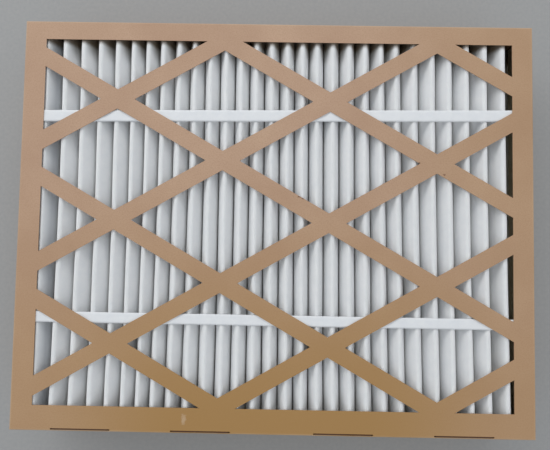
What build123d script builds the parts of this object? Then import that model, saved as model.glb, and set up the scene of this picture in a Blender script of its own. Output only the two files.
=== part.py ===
from build123d import *
from math import atan2, degrees, hypot
import os

# Pleated panel air filter, lying on its rear face with the front face up.
# X runs along the long side, Y along the short side, Z through the depth (the way the air goes).
# The origin is at the middle of the rear face. All sizes are in millimetres.

# Outer size of the finished filter
frame_width = 622.3
frame_height = 495.3
frame_depth = 95.25

# Board of the two die-cut trays
board = 0.8
fold_radius = 0.6        # inside radius of a scored fold
glue_line = 0.15         # room left for glue between the nested trays
flap_reach = 30.0        # corner glue flap, along the long wall
flap_setback = 3.0       # from the flap's ends to the tray's face and rim
rear_wall_gap = 9.25     # the inner tray's walls stop short of the front face

# Window opening: width of the solid border on each side
border_left = 26.0
border_right = 25.0
border_top = 22.3
border_bottom = 29.5
window_corner = 1.2      # die-rule corner radius

# Diagonal lattice across the window
strap_width = 20.5
column_pitch = 130.0     # between neighbouring crossings, along X
row_pitch = 74.0         # between neighbouring crossings, along Y
lattice_lift = 3.8       # middle row of crossings above the centre of the face
strap_count = 5          # straps that fall to the right, and as many that rise

# Locking tabs of the inner tray, and their slots along the front fold
tab_length = 68.0
tab_corner = 3.0
inner_tab_offset = 84.5
outer_tab_offset = 227.0
slot_end_gap = 1.5
slot_side_gap = 0.5

# Pleated media: one sheet folded into rounded pleats that bulge below each tip
media = 1.0
pleat_count = 30
first_tip = 24.0         # from the left wall to the middle of the first tip
last_tip = 14.6          # from the last tip's middle to the right wall
end_spread = 0.053       # the tips stand closest in the middle of the pack; 0 would space them evenly
tip_radius = 2.5         # centre line radius at each tip
shoulder_out = 7.6       # widest place of the bulge, from the tip's middle
shoulder_drop = 13.2     # widest place of the bulge, below the sharp corner of the tip
wall_bend_radius = 2.5   # the last valley on each side hugs the wall
wall_leg_setback = 4.0   # the end leg stops short of the front face

# Stabiliser tapes glued across the pleat tips
tape = 0.5
tape_gap = 0.2           # glue film above and below a tape
tape_setback = 4.0       # from the tape's ends to the tray walls
upper_tape_width = 14.0
upper_tape_y = 134.0
upper_tape_skew = 0.8    # degrees
lower_tape_width = 12.8
lower_tape_y = -114.0

# Adhesive beds that seal the pack's four sides
end_seal = 2.0           # along the cut ends of the pleats
edge_seal = 0.6          # behind the sheet's last leg on each side
seal_setback = 3.0       # from the beds' ends to the neighbouring wall

# Sizes that follow from the ones above
rear_width = frame_width - 2 * (board + glue_line)
rear_height = frame_height - 4 * board - 2 * glue_line
rear_wall_height = frame_depth - rear_wall_gap
pack_width = rear_width - 2 * board
pack_length = rear_height - 2 * (board + end_seal)
tip_span = pack_width - first_tip - last_tip
tip_middle = (first_tip - last_tip) / 2
front_skin = frame_depth - board
media_low = board + tape + 2 * tape_gap
media_high = frame_depth - media_low
slot_y = (board - rear_height) / 2
pack_middle = frame_depth / 2
tip_rounding = tip_radius * (hypot(shoulder_out, shoulder_drop) / shoulder_out - 1)
corner_rise = (media_high - media_low - media) / 2 + tip_rounding
shoulder_rise = corner_rise - shoulder_drop
tab_offsets = (-outer_tab_offset, -inner_tab_offset, inner_tab_offset, outer_tab_offset)
MIN_Z = (Align.CENTER, Align.CENTER, Align.MIN)


def corner_flap(width, height, depth):
    """Glue flap on the end of a short wall, folded behind the long wall, at +X and +Y."""
    wall_face = height / 2 - board
    flap_height = depth - 2 * (board + flap_setback)
    flap = Box(flap_reach, board, flap_height, align=(Align.MAX, Align.MAX, Align.MIN))
    free_corners = flap.edges().filter_by(Axis.Y).group_by(Axis.X)[0]
    flap = chamfer(free_corners, flap_reach / 3)
    return Pos(width / 2 - board, wall_face, board + flap_setback) * flap


def folded_tray(width, height, depth):
    """Tray folded from one die-cut blank: face at the top, four walls, glue flaps at the corners."""
    outside = Box(width, height, depth, align=MIN_Z)
    outside = fillet(outside.faces().sort_by(Axis.Z)[-1].edges(), fold_radius + board)
    inside = Box(width - 2 * board, height - 2 * board, depth - board, align=MIN_Z)
    inside = fillet(inside.faces().sort_by(Axis.Z)[-1].edges(), fold_radius)
    tray = outside - inside
    flap = corner_flap(width, height, depth)
    flaps = [flap, mirror(flap, Plane.YZ)]
    flaps += [mirror(one, Plane.XZ) for one in flaps]
    tray += flaps
    # The short wall turns the corner behind the long wall's raw end, which leaves a groove.
    turn = fold_radius + board
    cusp = Box(turn, turn, depth, align=(Align.MAX, Align.MAX, Align.MIN))
    cusp -= Pos(-turn, -turn) * Cylinder(turn, depth, align=MIN_Z)
    for side in (-1, 1):
        for end in (-1, 1):
            groove = Pos(width / 2, height / 2 - board, -turn) * cusp
            if side < 0:
                groove = mirror(groove, Plane.YZ)
            if end < 0:
                groove = mirror(groove, Plane.XZ)
            tray -= groove
    return tray


def long_sided_corners(face):
    """Corners whose two sides leave room for the die-rule radius."""
    shortest = {corner: min(side.length for side in face.edges() if side.distance_to(corner) < 0.001)
                for corner in face.vertices()}
    return [corner for corner, length in shortest.items() if length > 3 * window_corner]


def lattice_windows():
    """Flat outline of every opening between the straps, on the XY plane."""
    window_width = frame_width - border_left - border_right
    window_height = frame_height - border_top - border_bottom
    middle = Pos((border_left - border_right) / 2, (border_bottom - border_top) / 2)
    openings = middle * Rectangle(window_width, window_height)
    slope = degrees(atan2(row_pitch, column_pitch))
    strap = Rectangle(2 * frame_width, strap_width)
    for index in range(strap_count):
        crossing = row_pitch * (2 * (index - strap_count // 2) + 0.5)
        openings -= Pos(0, lattice_lift + crossing) * Rot(0, 0, -slope) * strap
        openings -= Pos(0, lattice_lift - crossing) * Rot(0, 0, slope) * strap
    return Sketch() + [fillet(long_sided_corners(face), window_corner) for face in openings.faces()]


def front_frame():
    """Outer tray, with the lattice face up and four tab slots along the lower fold."""
    tray = folded_tray(frame_width, frame_height, frame_depth)
    cut = extrude(lattice_windows(), frame_depth)
    slot = SlotOverall(tab_length + 2 * slot_end_gap, board + 2 * slot_side_gap)
    slots = [Pos(offset, slot_y) * slot for offset in tab_offsets]
    cut += [extrude(one, frame_depth) for one in slots]
    return tray - Pos(0, 0, front_skin - fold_radius) * cut


def rear_frame():
    """Inner tray, nested in the outer one with its own lattice face down, and its locking tabs."""
    tray = Rot(180, 0, 0) * folded_tray(rear_width, rear_height, rear_wall_height)
    tray = Pos(0, 0, rear_wall_height) * tray
    tray -= extrude(lattice_windows(), board + fold_radius)
    reach = frame_depth - rear_wall_height
    tab = Box(tab_length, board, reach, align=(Align.CENTER, Align.MIN, Align.MIN))
    tab = fillet(tab.edges().filter_by(Axis.Y).group_by(Axis.Z)[-1], tab_corner)
    tray += [Pos(offset, -rear_height / 2, rear_wall_height) * tab for offset in tab_offsets]
    return tray


def tip_x(index):
    """Place of a front tip along X: the pleats stand closest in the middle of the pack."""
    along = 2 * index / (pleat_count - 1) - 1
    return tip_middle + tip_span / 2 * (along + end_spread * along**3) / (1 + end_spread)


def shoulder(centre, up, side):
    """Widest place of the bulge beside one tip (up is 1) or one valley (-1)."""
    return centre + side * shoulder_out, pack_middle + up * shoulder_rise


def crest(centre, up):
    """Centre line over one tip or under one valley, from shoulder to shoulder."""
    corner = (centre, pack_middle + up * corner_rise)
    points = [shoulder(centre, up, -1), corner, shoulder(centre, up, 1)]
    return FilletPolyline(points, radius=tip_radius)


def wall_leg(side, tip):
    """Centre line of the last leg: flat on a side wall, round at its foot, then up to the tip beside it."""
    wall = side * (pack_width / 2 - edge_seal - media / 2)
    low = media_low + media / 2
    foot = [(wall, front_skin - wall_leg_setback), (wall, low), (wall - side * 2 * wall_bend_radius, low)]
    return FilletPolyline(foot + [shoulder(tip, 1, side)], radius=wall_bend_radius)


def pleated_media():
    """One folded sheet: its section is drawn with the height along Y, then run along the pleats."""
    tips = [tip_x(index) for index in range(pleat_count)]
    centre_line = wall_leg(-1, tips[0])
    for tip, following in zip(tips, tips[1:]):
        valley = (tip + following) / 2
        centre_line += crest(tip, 1)
        centre_line += Line(shoulder(tip, 1, 1), shoulder(valley, -1, -1))
        centre_line += crest(valley, -1)
        centre_line += Line(shoulder(valley, -1, 1), shoulder(following, 1, -1))
    centre_line += crest(tips[-1], 1)
    centre_line += wall_leg(1, tips[-1])
    outline = offset(centre_line, amount=media / 2, kind=Kind.INTERSECTION, side=Side.BOTH)
    return Rot(90, 0, 0) * extrude(make_face(outline.edges()), pack_length / 2, both=True)


def stabiliser_tape(width, y, skew, low):
    """Flat tape glued across the pleat tips, just behind a lattice."""
    strip = Box(pack_width - 2 * tape_setback, width, tape, align=MIN_Z)
    return Pos(0, y, low) * Rot(0, 0, skew) * strip


def end_seal_bed(side):
    """Bed of adhesive between the cut ends of the pleats and a long wall, clear of the glue flaps."""
    length = pack_width - 2 * (flap_reach + seal_setback)
    height = rear_wall_height - board - 2 * seal_setback
    bed = Box(length, end_seal, height, align=MIN_Z)
    return Pos(0, side * (pack_length + end_seal) / 2, board + seal_setback) * bed


def edge_seal_bed(side):
    """Layer of adhesive between the sheet's last leg and a short wall."""
    low = media_low + wall_bend_radius + seal_setback
    bed = Box(edge_seal, pack_length, rear_wall_height - seal_setback - low, align=MIN_Z)
    return Pos(side * (pack_width - edge_seal) / 2, 0, low) * bed


front_tape_low = media_high + tape_gap
rear_tape_low = board + tape_gap
sub_parts = {
    "front_frame": front_frame(),
    "rear_frame": rear_frame(),
    "pleated_media": pleated_media(),
    "front_tape_upper": stabiliser_tape(upper_tape_width, upper_tape_y, upper_tape_skew, front_tape_low),
    "front_tape_lower": stabiliser_tape(lower_tape_width, lower_tape_y, 0, front_tape_low),
    "rear_tape_upper": stabiliser_tape(upper_tape_width, upper_tape_y, 0, rear_tape_low),
    "rear_tape_lower": stabiliser_tape(lower_tape_width, lower_tape_y, 0, rear_tape_low),
    "end_seal_top": end_seal_bed(1),
    "end_seal_bottom": end_seal_bed(-1),
    "edge_seal_left": edge_seal_bed(-1),
    "edge_seal_right": edge_seal_bed(1),
}

os.makedirs("parts", exist_ok=True)
for node, solid in sub_parts.items():
    export_step(solid, f"parts/{node}.step")
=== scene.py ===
import bpy
import bmesh
import math
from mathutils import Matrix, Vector, noise


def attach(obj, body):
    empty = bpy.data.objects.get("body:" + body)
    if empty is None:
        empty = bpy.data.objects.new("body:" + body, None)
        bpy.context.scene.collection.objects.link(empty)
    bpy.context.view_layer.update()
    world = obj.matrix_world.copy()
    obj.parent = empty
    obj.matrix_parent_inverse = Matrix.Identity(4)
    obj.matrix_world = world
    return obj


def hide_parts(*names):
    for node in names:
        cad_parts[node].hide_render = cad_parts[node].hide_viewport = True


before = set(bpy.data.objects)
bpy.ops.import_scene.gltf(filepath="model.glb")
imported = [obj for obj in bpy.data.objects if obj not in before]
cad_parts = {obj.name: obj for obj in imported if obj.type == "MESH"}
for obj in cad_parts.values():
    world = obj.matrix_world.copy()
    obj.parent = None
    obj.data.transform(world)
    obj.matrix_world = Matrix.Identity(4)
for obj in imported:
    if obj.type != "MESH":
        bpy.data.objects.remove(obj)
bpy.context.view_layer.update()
scene = bpy.context.scene
scene.view_settings.view_transform = "Standard"
mm = 0.001
print("frame loaded with", len(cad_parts), "nodes")


# small helpers for node trees

def addNode(tree, kind, **settings):
    node = tree.nodes.new(kind)
    for key, value in settings.items():
        setattr(node, key, value)
    return node


def feed(tree, socket, value):
    # value is a socket to link from, or a plain number, vector or colour
    if isinstance(value, bpy.types.NodeSocket):
        tree.links.new(value, socket)
    elif value is not None:
        socket.default_value = value


def calc(tree, operation, a, b=None, clamp=False):
    node = addNode(tree, "ShaderNodeMath", operation=operation, use_clamp=clamp)
    feed(tree, node.inputs[0], a)
    feed(tree, node.inputs[1], b)
    return node.outputs[0]


def absolute(tree, value):
    return calc(tree, "ABSOLUTE", value)


def remap(tree, value, low, high, toLow=0.0, toHigh=1.0, smooth=False):
    kind = "SMOOTHSTEP" if smooth else "LINEAR"
    node = addNode(tree, "ShaderNodeMapRange", interpolation_type=kind)
    for index, item in enumerate((value, low, high, toLow, toHigh)):
        feed(tree, node.inputs[index], item)
    return node.outputs[0]


def blendColour(tree, amount, first, second):
    node = addNode(tree, "ShaderNodeMix", data_type="RGBA", clamp_factor=True)
    feed(tree, node.inputs["Factor"], amount)
    feed(tree, node.inputs[6], first)
    feed(tree, node.inputs[7], second)
    return node.outputs[2]


def noiseAt(tree, vector, scale, detail=3.0, rough=0.5):
    node = addNode(tree, "ShaderNodeTexNoise", noise_dimensions="3D")
    feed(tree, node.inputs["Vector"], vector)
    node.inputs["Scale"].default_value = scale
    node.inputs["Detail"].default_value = detail
    node.inputs["Roughness"].default_value = rough
    return node.outputs[0]


def stretched(tree, vector, scale):
    node = addNode(tree, "ShaderNodeMapping", vector_type="POINT")
    feed(tree, node.inputs["Vector"], vector)
    node.inputs["Scale"].default_value = scale
    return node.outputs[0]


def splitAxes(tree, vector):
    node = addNode(tree, "ShaderNodeSeparateXYZ")
    feed(tree, node.inputs[0], vector)
    return node.outputs


def bumpFrom(tree, height, distance, strength):
    node = addNode(tree, "ShaderNodeBump")
    node.inputs["Strength"].default_value = strength
    node.inputs["Distance"].default_value = distance
    feed(tree, node.inputs["Height"], height)
    return node.outputs[0]


def newFinish(name):
    material = bpy.data.materials.new(name)
    material.use_nodes = True
    tree = material.node_tree
    shader = tree.nodes["Principled BSDF"]
    place = addNode(tree, "ShaderNodeTexCoord").outputs["Object"]
    return material, tree, shader, place


def fromSrgb(red, green, blue):
    def linear(value):
        value /= 255
        return value / 12.92 if value <= 0.04045 else ((value + 0.055) / 1.055) ** 2.4
    return (linear(red), linear(green), linear(blue), 1.0)


# camera, lamps and floor

cameraRig = {"place": (0.0034, -0.0203, 0.5946), "turn": (2.403, 0.341, 0.988), "lens": 27.16}

cameraData = bpy.data.cameras.new("camera")
cameraData.sensor_width = 36.0
cameraData.lens = cameraRig["lens"]
cameraData.clip_start = 0.01
camera = bpy.data.objects.new("camera", cameraData)
camera.location = cameraRig["place"]
camera.rotation_euler = [math.radians(angle) for angle in cameraRig["turn"]]
scene.collection.objects.link(camera)
scene.camera = camera

lamps = {
    "skyStrength": 0.6, "skyColour": (0.93, 0.97, 1.0, 1.0), "aim": (0, 0, 0.05),
    "window": {"place": (-0.9, 2.1, 1.65), "size": (5.0, 0.9),
               "power": 45.0, "colour": (1.0, 0.985, 0.96)},
    "fill": {"place": (0.3, -1.3, 1.2), "size": (1.4, 1.2),
             "power": 2.0, "colour": (1.0, 0.98, 0.95)},
}

world = bpy.data.worlds.new("studio")
scene.world = world
world.use_nodes = True
sky = world.node_tree.nodes["Background"]
sky.inputs["Color"].default_value = lamps["skyColour"]
sky.inputs["Strength"].default_value = lamps["skyStrength"]


def softLamp(name, place, size, power, colour):
    data = bpy.data.lights.new(name, "AREA")
    data.shape = "RECTANGLE"
    data.size, data.size_y = size
    data.energy = power
    data.color = colour
    lamp = bpy.data.objects.new(name, data)
    lamp.location = place
    lamp.rotation_euler = (Vector(lamps["aim"]) - Vector(place)).to_track_quat("-Z", "Y").to_euler()
    scene.collection.objects.link(lamp)


softLamp("windowLight", **lamps["window"])
softLamp("fillLight", **lamps["fill"])

floorLook = {"half": 4.0, "colour": fromSrgb(167, 167, 167), "speckle": fromSrgb(161, 162, 163)}

floorMesh = bpy.data.meshes.new("floor")
half = floorLook["half"]
corners = [(-half, -half, 0), (half, -half, 0), (half, half, 0), (-half, half, 0)]
floorMesh.from_pydata(corners, [], [(0, 1, 2, 3)])
floor = bpy.data.objects.new("floor", floorMesh)
scene.collection.objects.link(floor)
floorFinish, tree, shader, place = newFinish("floorPaint")
speckle = remap(tree, noiseAt(tree, place, 220, 2), 0.3, 0.7)
colour = blendColour(tree, speckle, floorLook["colour"], floorLook["speckle"])
feed(tree, shader.inputs["Base Color"], colour)
shader.inputs["Roughness"].default_value = 0.9
floorMesh.materials.append(floorFinish)
print("camera, lamps and floor")


# kraft board of the two trays

boardLook = {
    "face": fromSrgb(188, 155, 131), "pale": fromSrgb(199, 167, 142), "deep": fromSrgb(172, 138, 112),
    # painted light on the next line: the yellow is a reflection, the dark brown is shade in the slots
    "reflectedYellow": fromSrgb(169, 131, 80), "slotShade": fromSrgb(88, 58, 44), "scuff": fromSrgb(200, 174, 146),
    "nick": fromSrgb(120, 84, 62),
    # fade ranges: where along an axis a mark, a painted reflection or a painted shade starts and where
    # it is full
    # painted reflection: where the yellow cast fades in
    "reflectionY": (0.1, -0.245), "reflectionMiddle": (0.1, 0.31), "reflectionRight": (0.05, 0.31),
    # painted shade: tabZ and tabY place the shade painted in the slots
    "tabZ": (0.0935, 0.094), "tabY": (0.2445, 0.2448), "topZ": (0.0935, 0.0945),
    "foldX": (0.3085, 0.3108), "foldY": (0.2450, 0.2473),
    # x, y and half sizes of each mark
    "scuffs": [(-0.1041, -0.2313, 0.0035, 0.0075)],
    "nicks": [(0.0286, 0.0354, 0.00288, 0.0018), (0.0328, 0.0331, 0.0016, 0.001),
              (0.1734, 0.0789, 0.00192, 0.0012), (0.2036, 0.0648, 0.00208, 0.0013)],
}


def markSpot(tree, x, y, mark, ragged, fray):
    # distance from the mark's middle, in half sizes, with a frayed edge
    centreX, centreY, halfX, halfY = mark
    dx = calc(tree, "DIVIDE", calc(tree, "SUBTRACT", x, centreX), halfX)
    dy = calc(tree, "DIVIDE", calc(tree, "SUBTRACT", y, centreY), halfY)
    squares = calc(tree, "ADD", calc(tree, "MULTIPLY", dx, dx), calc(tree, "MULTIPLY", dy, dy))
    return calc(tree, "ADD", calc(tree, "SQRT", squares), remap(tree, ragged, 0.3, 0.7, -fray, fray))


def kraftBoard(name, tabs):
    material, tree, shader, place = newFinish(name)
    x, y, z = splitAxes(tree, place)
    clouds = noiseAt(tree, place, 14, 4, 0.55)
    pulp = noiseAt(tree, place, 620, 3, 0.6)
    fibre = noiseAt(tree, stretched(tree, place, (260, 1900, 900)), 1.0, 2, 0.5)
    crossFibre = noiseAt(tree, stretched(tree, place, (1700, 330, 1200)), 1.0, 2, 0.5)
    colour = blendColour(tree, remap(tree, clouds, 0.32, 0.7), boardLook["face"], boardLook["pale"])
    colour = blendColour(tree, remap(tree, pulp, 0.42, 0.75, 0.0, 0.55), colour, boardLook["deep"])
    colour = blendColour(tree, remap(tree, fibre, 0.6, 0.78, 0.0, 0.35), colour, boardLook["pale"])
    colour = blendColour(tree, remap(tree, crossFibre, 0.62, 0.8, 0.0, 0.3), colour, boardLook["deep"])
    # painted yellow reflection, strongest towards the middle of one long edge, and a little to the
    # right
    low = remap(tree, y, *boardLook["reflectionY"], 0.0, 0.95, True)
    middle = remap(tree, absolute(tree, x), *boardLook["reflectionMiddle"], 1.0, 0.5, True)
    right = remap(tree, x, *boardLook["reflectionRight"], 0.0, 0.3, True)
    reflection = calc(tree, "MAXIMUM", calc(tree, "MULTIPLY", low, middle), right)
    colour = blendColour(tree, reflection, colour, boardLook["reflectedYellow"])
    if tabs:
        # painted shade: the locking tabs show only their cut edge, in the slots, painted dark brown for
        # the shade there
        beyond = remap(tree, absolute(tree, y), *boardLook["tabY"])
        slotShadeMask = calc(tree, "MULTIPLY", remap(tree, z, *boardLook["tabZ"]), beyond)
        colour = blendColour(tree, slotShadeMask, colour, boardLook["slotShade"])
    # fold lines rubbed pale
    foldX = remap(tree, absolute(tree, x), *boardLook["foldX"], 0.0, 1.0, True)
    foldY = remap(tree, absolute(tree, y), *boardLook["foldY"], 0.0, 1.0, True)
    patchy = remap(tree, clouds, 0.35, 0.6, 0.15, 0.6)
    rubbed = calc(tree, "MULTIPLY", calc(tree, "MAXIMUM", foldX, foldY), patchy)
    topFace = remap(tree, z, *boardLook["topZ"])
    colour = blendColour(tree, calc(tree, "MULTIPLY", rubbed, topFace), colour, boardLook["scuff"])
    ragged = noiseAt(tree, place, 330, 3, 0.6)
    for mark in boardLook["scuffs"]:
        far = markSpot(tree, x, y, mark, ragged, 0.3)
        spot = calc(tree, "MULTIPLY", remap(tree, far, 1.05, 0.4, 0.0, 0.6, True), topFace)
        colour = blendColour(tree, spot, colour, boardLook["scuff"])
    for mark in boardLook["nicks"]:
        far = markSpot(tree, x, y, mark, ragged, 0.5)
        spot = calc(tree, "MULTIPLY", remap(tree, far, 1.0, 0.5, 0.0, 0.8, True), topFace)
        colour = blendColour(tree, spot, colour, boardLook["nick"])
    feed(tree, shader.inputs["Base Color"], colour)
    feed(tree, shader.inputs["Roughness"], remap(tree, pulp, 0.3, 0.7, 0.72, 0.88))
    shader.inputs["Specular IOR Level"].default_value = 0.3
    grain = calc(tree, "ADD", pulp, calc(tree, "MULTIPLY", fibre, 0.6))
    feed(tree, shader.inputs["Normal"], bumpFrom(tree, grain, 0.0002, 0.5))
    return material


def coat(name, finish):
    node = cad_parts[name]
    node.data.materials.clear()
    node.data.materials.append(finish)


coat("front_frame", kraftBoard("kraftBoard", False))
coat("rear_frame", kraftBoard("kraftBoardSlotShade", True))
print("trays finished")


# the folded media

media = {
    "folds": 30, "middle": 4.7 * mm, "span": 580.2 * mm, "endSpread": 0.053,
    "length": 486.2 * mm, "thickness": 0.9 * mm, "rows": 36,
    "front": 93.05 * mm, "rear": 2.2 * mm,      # centre line at the tips and in the valleys
    "tipRadius": 2.5 * mm, "flare": 24.0, "bulge": 8.7 * mm, "bulgeDrop": 21.0 * mm,
    "drawnHalfPitch": 9.5 * mm,
    # the end legs: up the wall from a small bend; the last fold is cut low beside the wall
    "wall": 308.3 * mm, "leftTop": 90.4 * mm, "rightTop": 45.0 * mm, "wallBend": (2.8 * mm, 3.4 * mm),
    "lastValley": 12.5 * mm, "lastFold": (298.0 * mm, 34.0 * mm),
    "leanPlace": 220.0 * mm, "waver": 0.35 * mm, "waverFades": (304.0 * mm, 290.0 * mm),
    "seed": 4, "weld": 0.02 * mm,
}

mediaLook = {
    "white": (0.81, 0.825, 0.845, 1), "bright": (0.86, 0.865, 0.875, 1), "fluff": (0.77, 0.79, 0.81, 1),
    # painted shade on the next line: the first two colours darken the folds by the borders, the third
    # the deep valleys
    "edgeShade": (0.36, 0.345, 0.32, 1), "coolEdgeShade": (0.4, 0.42, 0.45, 1), "valley": (0.72, 0.7, 0.6, 1),
    # painted shadow: the dark brown under the upper border
    "glue": (0.16, 0.11, 0.06, 1),
    # fade ranges: where along an axis a painted shade starts and where it is full
    "besideX": (0.26, 0.284), "underY": (0.1985, 0.2265), "belowY": (-0.19, -0.22),
    "deepZ": (0.0925, 0.083), "coolX": (-0.25, -0.27), "valleyZ": (0.08, 0.055),
    "glueY": (0.2185, 0.2255), "soak": 1.2 * mm,
}

# how far each tip strays from its even place, in mm, at three heights along it
leanUpper = (0.4, 1.6, 2.3, 2.8, 3.1, 2.4, 0.4, -1.3, -1.0, -1.3, -1.6, -1.4, -1.7, -2.0, -2.2,
             -1.8, -2.3, -3.8, -3.4, -2.6, -2.9, -3.1, -4.5, -2.1, -0.1, 0.4, 1.3, 2.5, 2.8)
leanMiddle = (0.2, 2.7, 3.8, 4.6, 4.7, 3.6, 1.4, -0.6, -0.6, -0.7, -0.2, 0.2, -0.3, -0.9, -0.6,
              -0.3, -0.6, -1.6, -1.5, -1.0, -1.0, -0.5, -0.6, 0.5, 2.2, 2.3, 2.7, 3.3, 4.3)
leanLower = (-1.0, -0.5, 0.9, 2.8, 2.8, 1.2, -0.9, -3.3, -3.0, -2.5, -1.1, -0.6, 0.1, 0.3, 1.2,
             1.6, 1.4, 1.0, 1.3, 1.9, 2.8, 3.8, 4.7, 5.6, 7.5, 6.9, 7.5, 7.3, 7.6)


def whiteNonwoven():
    material, tree, shader, place = newFinish("whiteNonwoven")
    cloud = noiseAt(tree, place, 90, 4, 0.6)
    fluff = noiseAt(tree, place, 1500, 3, 0.65)
    strands = noiseAt(tree, stretched(tree, place, (500, 2600, 1400)), 1.0, 2, 0.6)
    colour = blendColour(tree, remap(tree, cloud, 0.3, 0.7), mediaLook["white"], mediaLook["bright"])
    colour = blendColour(tree, remap(tree, fluff, 0.5, 0.75, 0.0, 0.3), colour, mediaLook["fluff"])
    # painted shade deeper in the folds beside the borders, cooler at the left
    x, y, z = splitAxes(tree, place)
    beside = remap(tree, absolute(tree, x), *mediaLook["besideX"], 0.0, 0.8, True)
    under = remap(tree, y, *mediaLook["underY"], 0.0, 0.95, True)
    below = remap(tree, y, *mediaLook["belowY"], 0.0, 0.25, True)
    edge = calc(tree, "MAXIMUM", beside, calc(tree, "MAXIMUM", under, below))
    deep = remap(tree, z, *mediaLook["deepZ"])
    cool = remap(tree, x, *mediaLook["coolX"])
    edgeShade = blendColour(tree, cool, mediaLook["edgeShade"], mediaLook["coolEdgeShade"])
    colour = blendColour(tree, calc(tree, "MULTIPLY", edge, deep), colour, edgeShade)
    # painted shade: the deepest parts of the folds are tinted darker and warmer
    low = remap(tree, z, *mediaLook["valleyZ"], 0.0, 0.8)
    colour = blendColour(tree, low, colour, mediaLook["valley"])
    # painted shadow: a dark brown band with a frayed edge along the upper fold ends, under the border
    frayedY = calc(tree, "ADD", y, remap(tree, fluff, 0.3, 0.7, -0.8 * mm, 0.8 * mm))
    glued = remap(tree, frayedY, *mediaLook["glueY"], 0.0, 0.85, True)
    colour = blendColour(tree, glued, colour, mediaLook["glue"])
    feed(tree, shader.inputs["Base Color"], colour)
    shader.inputs["Roughness"].default_value = 0.95
    shader.inputs["Specular IOR Level"].default_value = 0.15
    shader.inputs["Sheen Weight"].default_value = 0.08
    # the fleece is thin, so light soaks through from fold to fold
    shader.inputs["Subsurface Weight"].default_value = 1.0
    shader.inputs["Subsurface Radius"].default_value = (1.0, 1.0, 1.0)
    shader.inputs["Subsurface Scale"].default_value = mediaLook["soak"]
    height = calc(tree, "ADD", fluff, calc(tree, "MULTIPLY", strands, 0.7))
    feed(tree, shader.inputs["Normal"], bumpFrom(tree, height, 0.00025, 0.55))
    return material


def sectionCurve(name, points):
    # points: (x, z, handle in, handle out), the handles as offsets from the point
    data = bpy.data.curves.new(name, "CURVE")
    data.dimensions = "3D"
    spline = data.splines.new("BEZIER")
    spline.bezier_points.add(len(points) - 1)
    spline.resolution_u = 4
    for target, (x, z, handleIn, handleOut) in zip(spline.bezier_points, points):
        target.handle_left_type = target.handle_right_type = "FREE"
        target.co = (x, 0, z)
        target.handle_left = (x + handleIn[0], 0, z + handleIn[1])
        target.handle_right = (x + handleOut[0], 0, z + handleOut[1])
    curve = bpy.data.objects.new(name, data)
    scene.collection.objects.link(curve)
    return curve


def tipPoints():
    # the tip's arc, the flank below it and the widest place, to the right of a tip at x = 0
    turn = math.radians(90 - media["flare"])
    radius = media["tipRadius"]
    tipReach = 4 / 3 * math.tan(turn / 4) * radius
    endX = radius * math.sin(turn)
    endZ = media["front"] - radius * (1 - math.cos(turn))
    wideZ = media["front"] - media["bulgeDrop"]
    flank = endZ - wideZ
    alongX, alongZ = math.cos(turn), -math.sin(turn)
    onward = 0.4 * flank
    return [
        (0, media["front"], (-tipReach, 0), (tipReach, 0)),
        (endX, endZ, (-alongX * tipReach, -alongZ * tipReach), (alongX * onward, alongZ * onward)),
        (media["bulge"], wideZ, (0, 0.3 * flank), (0, -12 * mm)),
    ]


def foldSection():
    top = tipPoints()
    centreX, centreZ = media["drawnHalfPitch"], media["front"] + media["rear"]
    bottom = [(centreX - x, centreZ - z, (-hOut[0], -hOut[1]), (-hIn[0], -hIn[1]))
              for x, z, hIn, hOut in reversed(top)]
    return sectionCurve("foldSection", top + bottom)


def endSection(name, tip, side, halfPitch):
    wide = halfPitch / media["drawnHalfPitch"]
    across = side * wide
    points = [(tip + across * x, z, (across * hIn[0], hIn[1]), (across * hOut[0], hOut[1]))
              for x, z, hIn, hOut in tipPoints()]
    wall, low = side * media["wall"], media["rear"]
    bendX, bendZ = media["wallBend"]
    top = media["leftTop"] if side < 0 else media["rightTop"]
    if side > 0:
        foldX, foldZ = media["lastFold"]
        points.append((tip + media["lastValley"], low, (-1.8 * mm, 0), (1.8 * mm, 0)))
        points.append((foldX, foldZ, (-2.4 * mm, 0), (2.4 * mm, 0)))
    points.append((wall - side * bendX, low, (-side * 1.5 * mm, 0), (side * 1.4 * mm, 0)))
    points.append((wall, low + bendZ, (0, -1.6 * mm), (0, 8 * mm)))
    points.append((wall, top, (0, -12 * mm), (0, 5 * mm)))
    return sectionCurve(name, points)


def tipPlaces():
    # X of each tip near the lower edge, in the middle and near the upper edge
    places = []
    spread = media["endSpread"]
    for index in range(media["folds"] - 1):
        along = 2 * index / (media["folds"] - 1) - 1
        even = media["middle"] + media["span"] / 2 * (along + spread * along**3) / (1 + spread)
        places.append([even + lean[index] * mm for lean in (leanLower, leanMiddle, leanUpper)])
    return places


def tipLineCurves(places):
    # one gently bowed line for each tip, from the lower edge to the upper edge
    data = bpy.data.curves.new("tipLines", "CURVE")
    data.dimensions = "3D"
    reach = media["length"] / 2
    far = reach / media["leanPlace"]
    for lower, middle, upper in places:
        slope, bow = (upper - lower) / 2, (upper + lower) / 2 - middle
        spline = data.splines.new("BEZIER")
        spline.bezier_points.add(1)
        spline.resolution_u = 12
        for point, side in zip(spline.bezier_points, (-1, 1)):
            t = side * far
            x = middle + slope * t + bow * t * t
            turn = (slope + 2 * bow * t) * 2 * far / 3
            point.handle_left_type = point.handle_right_type = "FREE"
            point.co = (x, side * reach, 0)
            point.handle_left = (x - turn, (side - 2 / 3) * reach, 0)
            point.handle_right = (x + turn, (side + 2 / 3) * reach, 0)
    lines = bpy.data.objects.new("tipLines", data)
    scene.collection.objects.link(lines)
    return lines


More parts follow.
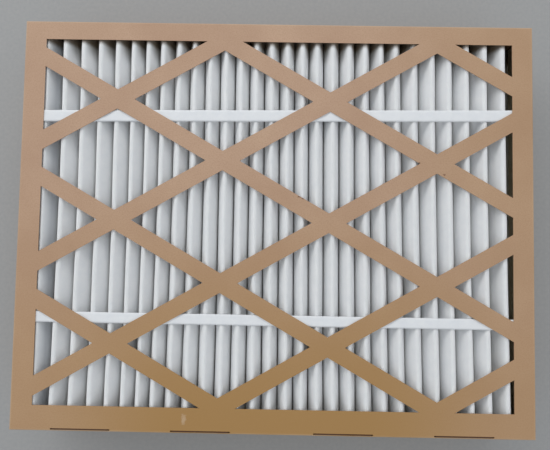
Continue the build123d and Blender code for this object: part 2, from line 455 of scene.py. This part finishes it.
def pleatTree():
    tree = bpy.data.node_groups.new("pleatedSheet", "GeometryNodeTree")
    labels = {
        "Geometry": ["Base"],
        "Object": ["Tip lines", "Fold section", "Left end", "Right end"],
        "Float": ["First tip", "Last tip", "Wall", "Sheet length", "Drawn half pitch", "Waver", "Seed"],
        "Int": ["Rows"],
        "Material": ["Finish"],
    }
    sockets = {label: tree.interface.new_socket(label, in_out="INPUT", socket_type="NodeSocket" + kind)
               for kind, names in labels.items() for label in names}
    tree.interface.new_socket("Sheet", in_out="OUTPUT", socket_type="NodeSocketGeometry")
    given = addNode(tree, "NodeGroupInput").outputs
    result = addNode(tree, "NodeGroupOutput")

    def sectionPoints(objectSocket):
        info = addNode(tree, "GeometryNodeObjectInfo", transform_space="ORIGINAL")
        feed(tree, info.inputs["Object"], objectSocket)
        line = addNode(tree, "GeometryNodeCurveToMesh")
        feed(tree, line.inputs["Curve"], info.outputs["Geometry"])
        size = addNode(tree, "GeometryNodeAttributeDomainSize", component="MESH")
        feed(tree, size.inputs["Geometry"], line.outputs[0])
        return line.outputs[0], calc(tree, "SUBTRACT", size.outputs["Point Count"], 1.0)

    def sample(geometry, index):
        position = addNode(tree, "GeometryNodeInputPosition").outputs[0]
        node = addNode(tree, "GeometryNodeSampleIndex",
                       data_type="FLOAT_VECTOR", domain="POINT", clamp=True)
        feed(tree, node.inputs["Geometry"], geometry)
        feed(tree, node.inputs["Value"], position)
        feed(tree, node.inputs["Index"], index)
        axes = splitAxes(tree, node.outputs[0])
        return axes[0], axes[2]

    def flatGrid(columns):
        # one unit of X for each column, so the column's number is X plus half the width
        grid = addNode(tree, "GeometryNodeMeshGrid")
        feed(tree, grid.inputs["Size X"], columns)
        feed(tree, grid.inputs["Size Y"], given["Sheet length"])
        feed(tree, grid.inputs["Vertices X"], calc(tree, "ADD", columns, 1.0))
        feed(tree, grid.inputs["Vertices Y"], given["Rows"])
        x, y, z = splitAxes(tree, addNode(tree, "GeometryNodeInputPosition").outputs[0])
        column = calc(tree, "ROUND", calc(tree, "ADD", x, calc(tree, "DIVIDE", columns, 2.0)))
        return grid.outputs["Mesh"], column, y

    def placed(grid, x, y, z):
        point = addNode(tree, "ShaderNodeCombineXYZ")
        for socket, value in zip(point.inputs, (x, y, z)):
            feed(tree, socket, value)
        move = addNode(tree, "GeometryNodeSetPosition")
        feed(tree, move.inputs["Geometry"], grid)
        feed(tree, move.inputs["Position"], point.outputs[0])
        return move.outputs[0]

    lines = addNode(tree, "GeometryNodeObjectInfo", transform_space="ORIGINAL")
    feed(tree, lines.inputs["Object"], given["Tip lines"])
    lineCount = addNode(tree, "GeometryNodeAttributeDomainSize", component="CURVE")
    feed(tree, lineCount.inputs["Geometry"], lines.outputs["Geometry"])
    lastLine = calc(tree, "SUBTRACT", lineCount.outputs["Spline Count"], 1.0)

    def tipAt(index, y):
        factor = calc(tree, "ADD", calc(tree, "DIVIDE", y, given["Sheet length"]), 0.5, clamp=True)
        node = addNode(tree, "GeometryNodeSampleCurve", mode="FACTOR", use_all_curves=False)
        feed(tree, node.inputs["Curves"], lines.outputs["Geometry"])
        feed(tree, node.inputs["Factor"], factor)
        feed(tree, node.inputs["Curve Index"], index)
        return splitAxes(tree, node.outputs["Position"])[0]

    # legs between the first tip and the last one
    section, steps = sectionPoints(given["Fold section"])
    legs = calc(tree, "MULTIPLY", lastLine, 2.0)
    grid, column, y = flatGrid(calc(tree, "MULTIPLY", legs, steps))
    leg = calc(tree, "FLOOR", calc(tree, "DIVIDE", calc(tree, "ADD", column, 0.5), steps))
    leg = calc(tree, "MINIMUM", leg, calc(tree, "SUBTRACT", legs, 1.0))
    step = calc(tree, "SUBTRACT", column, calc(tree, "MULTIPLY", leg, steps))
    rising = calc(tree, "MODULO", leg, 2.0)
    side = calc(tree, "SUBTRACT", 1.0, calc(tree, "MULTIPLY", rising, 2.0))
    step = calc(tree, "ADD", calc(tree, "MULTIPLY", step, side), calc(tree, "MULTIPLY", rising, steps))
    tipIndex = calc(tree, "FLOOR", calc(tree, "DIVIDE", calc(tree, "ADD", leg, 1.5), 2.0))
    tipX = tipAt(calc(tree, "ROUND", tipIndex), y)
    nextX = tipAt(calc(tree, "ROUND", calc(tree, "ADD", tipIndex, side)), y)
    halfPitch = calc(tree, "DIVIDE", absolute(tree, calc(tree, "SUBTRACT", nextX, tipX)), 2.0)
    across, height = sample(section, calc(tree, "ROUND", step))
    across = calc(tree, "MULTIPLY", across, calc(tree, "DIVIDE", halfPitch, given["Drawn half pitch"]))
    x = calc(tree, "ADD", tipX, calc(tree, "MULTIPLY", side, across))
    parts = [placed(grid, x, y, height)]

    # the last leg at each side, down from its tip and up the tray's wall
    ends = (("Left end", "First tip", -1.0, 0), ("Right end", "Last tip", 1.0, lastLine))
    for label, drawnTip, side, line in ends:
        endLine, endSteps = sectionPoints(given[label])
        grid, column, y = flatGrid(endSteps)
        x, height = sample(endLine, column)
        stray = calc(tree, "SUBTRACT", tipAt(line, y), given[drawnTip])
        wallX = calc(tree, "MULTIPLY", given["Wall"], side)
        moved = calc(tree, "MULTIPLY", stray, remap(tree, x, wallX, given[drawnTip]))
        parts.append(placed(grid, calc(tree, "ADD", x, moved), y, height))

    joined = addNode(tree, "GeometryNodeJoinGeometry")
    for part in reversed(parts):
        tree.links.new(part, joined.inputs[0])
    welded = addNode(tree, "GeometryNodeMergeByDistance")
    feed(tree, welded.inputs["Geometry"], joined.outputs[0])
    welded.inputs["Distance"].default_value = media["weld"]

    # hand-folded irregularity: the tips wander a little along their length
    position = addNode(tree, "GeometryNodeInputPosition").outputs[0]
    scaled = addNode(tree, "ShaderNodeVectorMath", operation="MULTIPLY")
    feed(tree, scaled.inputs[0], position)
    scaled.inputs[1].default_value = (38, 7, 9)
    wander = addNode(tree, "ShaderNodeTexNoise", noise_dimensions="4D")
    feed(tree, wander.inputs["Vector"], scaled.outputs[0])
    feed(tree, wander.inputs["W"], given["Seed"])
    wander.inputs["Scale"].default_value = 1.0
    wander.inputs["Detail"].default_value = 1.0
    distance = absolute(tree, splitAxes(tree, position)[0])
    inside = remap(tree, distance, *media["waverFades"], 0.0, 1.0, True)
    sway = remap(tree, wander.outputs[0], 0.25, 0.75, -1.0, 1.0)
    shift = calc(tree, "MULTIPLY", sway, calc(tree, "MULTIPLY", inside, given["Waver"]))
    offset = addNode(tree, "ShaderNodeCombineXYZ")
    feed(tree, offset.inputs[0], shift)
    wavered = addNode(tree, "GeometryNodeSetPosition")
    feed(tree, wavered.inputs["Geometry"], welded.outputs[0])
    feed(tree, wavered.inputs["Offset"], offset.outputs[0])

    real = addNode(tree, "GeometryNodeRealizeInstances")
    feed(tree, real.inputs[0], wavered.outputs[0])
    painted = addNode(tree, "GeometryNodeSetMaterial")
    feed(tree, painted.inputs["Geometry"], real.outputs[0])
    feed(tree, painted.inputs["Material"], given["Finish"])
    feed(tree, result.inputs[0], painted.outputs[0])
    return tree, sockets


def thickened(worker, thickness, name):
    # the worker's final mesh, as plain geometry
    thick = worker.modifiers.new("thickness", "SOLIDIFY")
    thick.thickness = thickness
    thick.offset = 0.0
    bpy.context.view_layer.update()
    evaluated = worker.evaluated_get(bpy.context.evaluated_depsgraph_get())
    mesh = bpy.data.meshes.new_from_object(evaluated)
    mesh.name = name
    for polygon in mesh.polygons:
        polygon.use_smooth = True
    return mesh


def makeMedia():
    finish = whiteNonwoven()
    places = tipPlaces()
    seedMesh = bpy.data.meshes.new("foldingTable")
    seedMesh.from_pydata([(0, 0, 0)], [], [])
    worker = bpy.data.objects.new("foldingTable", seedMesh)
    scene.collection.objects.link(worker)
    first, last = places[0][1], places[-1][1]
    curves = {
        "Tip lines": tipLineCurves(places),
        "Fold section": foldSection(),
        "Left end": endSection("leftEnd", first, -1, (places[1][1] - first) / 2),
        "Right end": endSection("rightEnd", last, 1, (last - places[-2][1]) / 2),
    }
    tree, sockets = pleatTree()
    folds = worker.modifiers.new("folds", "NODES")
    folds.node_group = tree
    values = curves | {
        "First tip": first, "Last tip": last, "Wall": media["wall"], "Sheet length": media["length"],
        "Rows": media["rows"], "Drawn half pitch": media["drawnHalfPitch"],
        "Waver": media["waver"], "Seed": float(media["seed"]), "Finish": finish,
    }
    for label, value in values.items():
        folds[sockets[label].identifier] = value
    mesh = thickened(worker, media["thickness"], "pleatedSheet")
    sheet = bpy.data.objects.new("pleatedSheet", mesh)
    scene.collection.objects.link(sheet)
    for old in [worker, *curves.values()]:
        bpy.data.objects.remove(old)
    bpy.data.node_groups.remove(tree)
    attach(sheet, "root")
    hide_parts("pleated_media")
    print("media folded:", len(mesh.polygons), "faces")
    return places


tips = makeMedia()


# tapes across the tips

tapes = {
    "thickness": 0.4 * mm, "sag": 0.35 * mm, "sagReach": 10.0 * mm, "halfLength": 305.0 * mm,
    "ripple": 0.25 * mm, "fullCurl": 0.3 * mm,      # a dip this deep lets the tape curl fully
    "across": 6, "along": 360,
    "white": (0.8, 0.82, 0.855, 1), "bright": (0.85, 0.865, 0.885, 1), "weave": (0.73, 0.75, 0.79, 1),
}

tapeLines = {
    "front_tape_upper": {"y": 134.0 * mm, "width": 14.0 * mm, "skew": 0.8, "z": 94.0 * mm, "side": 1},
    "front_tape_lower": {"y": -114.0 * mm, "width": 12.8 * mm, "skew": 0.0, "z": 94.0 * mm, "side": 1},
    "rear_tape_upper": {"y": 134.0 * mm, "width": 14.0 * mm, "skew": 0.0, "z": 1.25 * mm, "side": -1},
    "rear_tape_lower": {"y": -114.0 * mm, "width": 12.8 * mm, "skew": 0.0, "z": 1.25 * mm, "side": -1},
}


def tapeRibbon():
    material, tree, shader, place = newFinish("whiteRibbon")
    cloud = noiseAt(tree, place, 120, 3, 0.6)
    weave = noiseAt(tree, stretched(tree, place, (900, 2600, 900)), 1.0, 2, 0.6)
    colour = blendColour(tree, remap(tree, cloud, 0.3, 0.7), tapes["white"], tapes["bright"])
    colour = blendColour(tree, remap(tree, weave, 0.55, 0.8, 0.0, 0.3), colour, tapes["weave"])
    feed(tree, shader.inputs["Base Color"], colour)
    shader.inputs["Roughness"].default_value = 0.8
    shader.inputs["Specular IOR Level"].default_value = 0.25
    feed(tree, shader.inputs["Normal"], bumpFrom(tree, weave, 0.0002, 0.4))
    return material


def makeTape(node, line, finish):
    t = line["y"] / media["leanPlace"]
    stops = [mid + (up - low) / 2 * t + ((up + low) / 2 - mid) * t * t for low, mid, up in tips]
    if line["side"] < 0:
        stops = [(a + b) / 2 for a, b in zip(stops, stops[1:])]
    build = bmesh.new()
    across, along = tapes["across"], tapes["along"]
    slope = math.tan(math.radians(line["skew"]))
    rows = []
    for i in range(along + 1):
        x = -tapes["halfLength"] + 2 * tapes["halfLength"] * i / along
        # the tape lies on each tip and sags between two
        away = min(abs(x - stop) for stop in stops) / tapes["sagReach"]
        dip = tapes["sag"] * math.sin(math.pi * min(away, 1) / 2) ** 2
        row = []
        for j in range(across + 1):
            v = j / across - 0.5
            ragged = 0.0
            if abs(v) > 0.4:
                ragged = tapes["ripple"] * noise.noise(Vector((x * 90, v * 4, line["y"] * 50)))
            curl = tapes["ripple"] * noise.noise(Vector((x * 25, v * 2, 3.0 + line["y"] * 10)))
            y = line["y"] + slope * x + v * line["width"] + ragged
            drop = dip * (0.85 + 0.3 * abs(v)) + abs(curl) * min(dip / tapes["fullCurl"], 1)
            row.append(build.verts.new((x, y, line["z"] - line["side"] * drop)))
        rows.append(row)
    for first, second in zip(rows, rows[1:]):
        for j in range(across):
            build.faces.new((first[j], second[j], second[j + 1], first[j + 1]))
    name = node + "_ribbon"
    mesh = bpy.data.meshes.new(name)
    build.to_mesh(mesh)
    build.free()
    ribbon = bpy.data.objects.new(name, mesh)
    scene.collection.objects.link(ribbon)
    final = thickened(ribbon, tapes["thickness"], name)
    ribbon.modifiers.clear()
    ribbon.data = final
    final.materials.append(finish)
    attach(ribbon, "root")
    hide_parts(node)


ribbonFinish = tapeRibbon()
for node, line in tapeLines.items():
    makeTape(node, line, ribbonFinish)
print("tapes laid")


# hot-melt adhesive

adhesive = {
    "nodes": ("end_seal_top", "end_seal_bottom", "edge_seal_left", "edge_seal_right"),
    "dark": fromSrgb(226, 214, 184), "pale": fromSrgb(238, 230, 206),
    "roughness": 0.35, "lump": 1.0 * mm,
}


def hotMelt():
    material, tree, shader, place = newFinish("hotMelt")
    blobs = noiseAt(tree, place, 160, 3, 0.5)
    colour = blendColour(tree, remap(tree, blobs, 0.3, 0.7), adhesive["dark"], adhesive["pale"])
    feed(tree, shader.inputs["Base Color"], colour)
    shader.inputs["Roughness"].default_value = adhesive["roughness"]
    feed(tree, shader.inputs["Normal"], bumpFrom(tree, blobs, adhesive["lump"], 0.6))
    return material


glueFinish = hotMelt()
for name in adhesive["nodes"]:
    coat(name, glueFinish)
print("adhesive finished")
